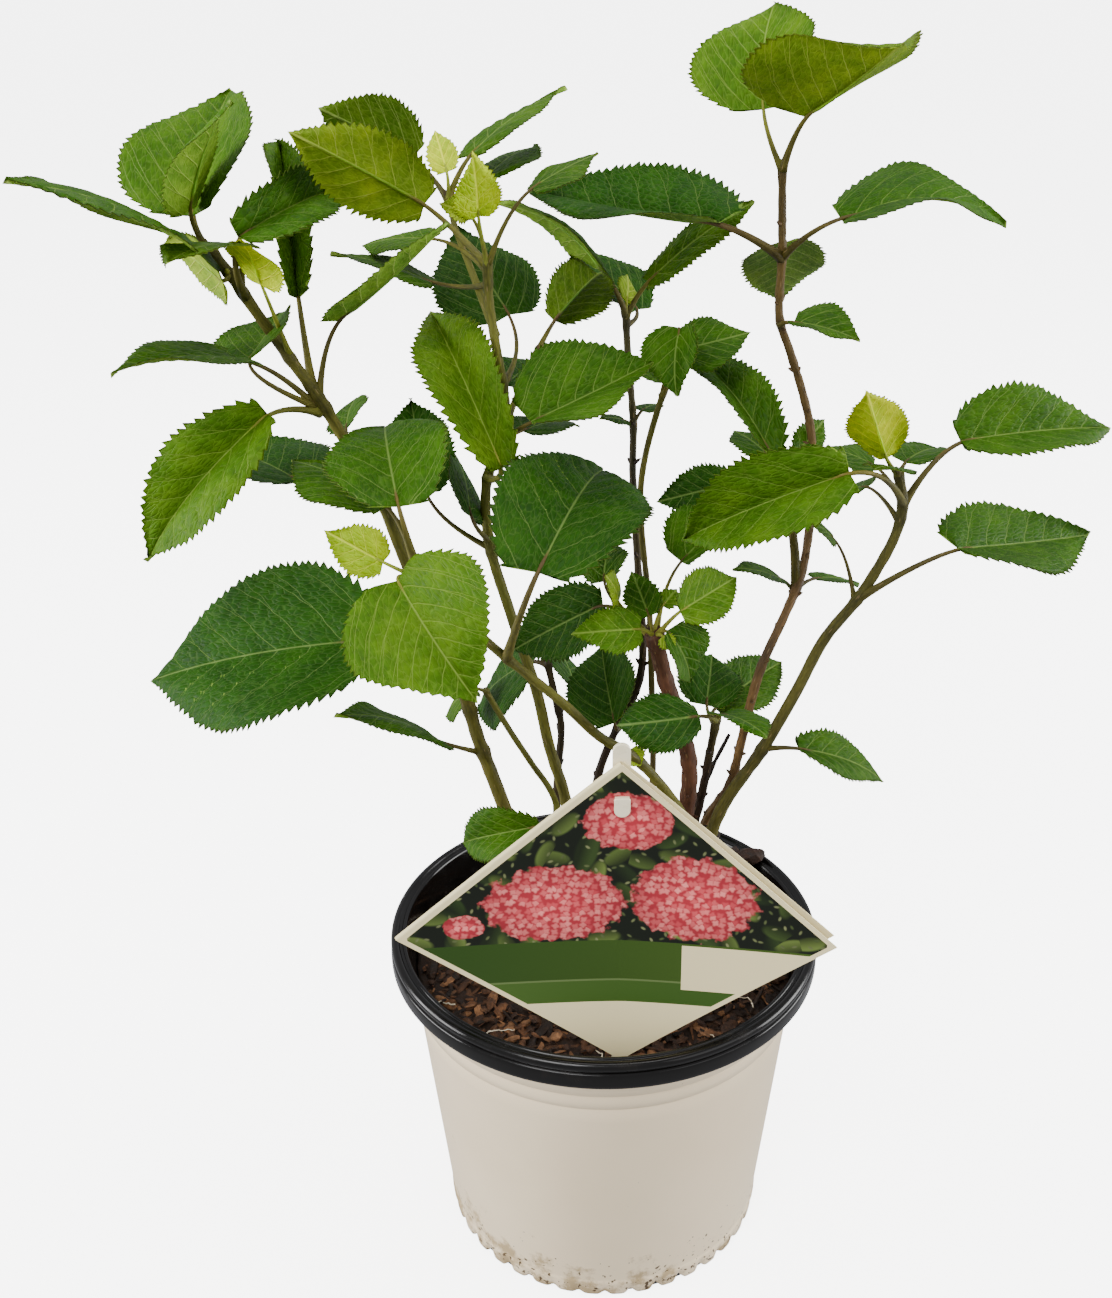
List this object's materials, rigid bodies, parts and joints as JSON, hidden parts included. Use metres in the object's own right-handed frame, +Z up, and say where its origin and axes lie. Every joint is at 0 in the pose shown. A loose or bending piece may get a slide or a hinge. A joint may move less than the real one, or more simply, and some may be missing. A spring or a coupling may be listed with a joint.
{
  "type": "potted smooth hydrangea",
  "caption": "Young leafy shrub of upright woody stems with broad toothed leaves, in a round tapered nursery pot of bark mix, with a folded square plant label standing on its corner.",
  "frame": {"origin": "centre of the pot's underside, on the pot's axis, where it rests", "axes": "+Z up along the pot's axis, -Y towards the front, where the plant label faces, +X to the right seen from the front"},
  "size_m": [0.3483, 0.1881, 0.4672],
  "materials": {
    "pot_wall": "off-white satin printed polypropylene with light soil stains",
    "pot_rim": "black semi-gloss polypropylene",
    "potting_mix": "damp shredded bark and peat",
    "label_card": "satin printed plastic card",
    "stake_plastic": "white semi-gloss plastic",
    "leaf_blade": "soft green leaf with pale veins and a light sheen",
    "stem_bark": "olive to brown young bark"
  },
  "bodies": {
    "root": {"pot": "pot_wall", "potting_mix": "potting_mix", "plant_label": "label_card", "label_stake": "stake_plastic", "left_stem": "leaf_blade", "crossing_stem": "leaf_blade", "inner_left_stem": "leaf_blade", "middle_stem": "leaf_blade", "thin_stem": "leaf_blade", "tall_right_stem": "leaf_blade", "right_stem": "leaf_blade", "old_stub": "leaf_blade", "short_shoot": "leaf_blade", "back_twig": "leaf_blade", "left_twig": "leaf_blade"}
  },
  "joints": []
}
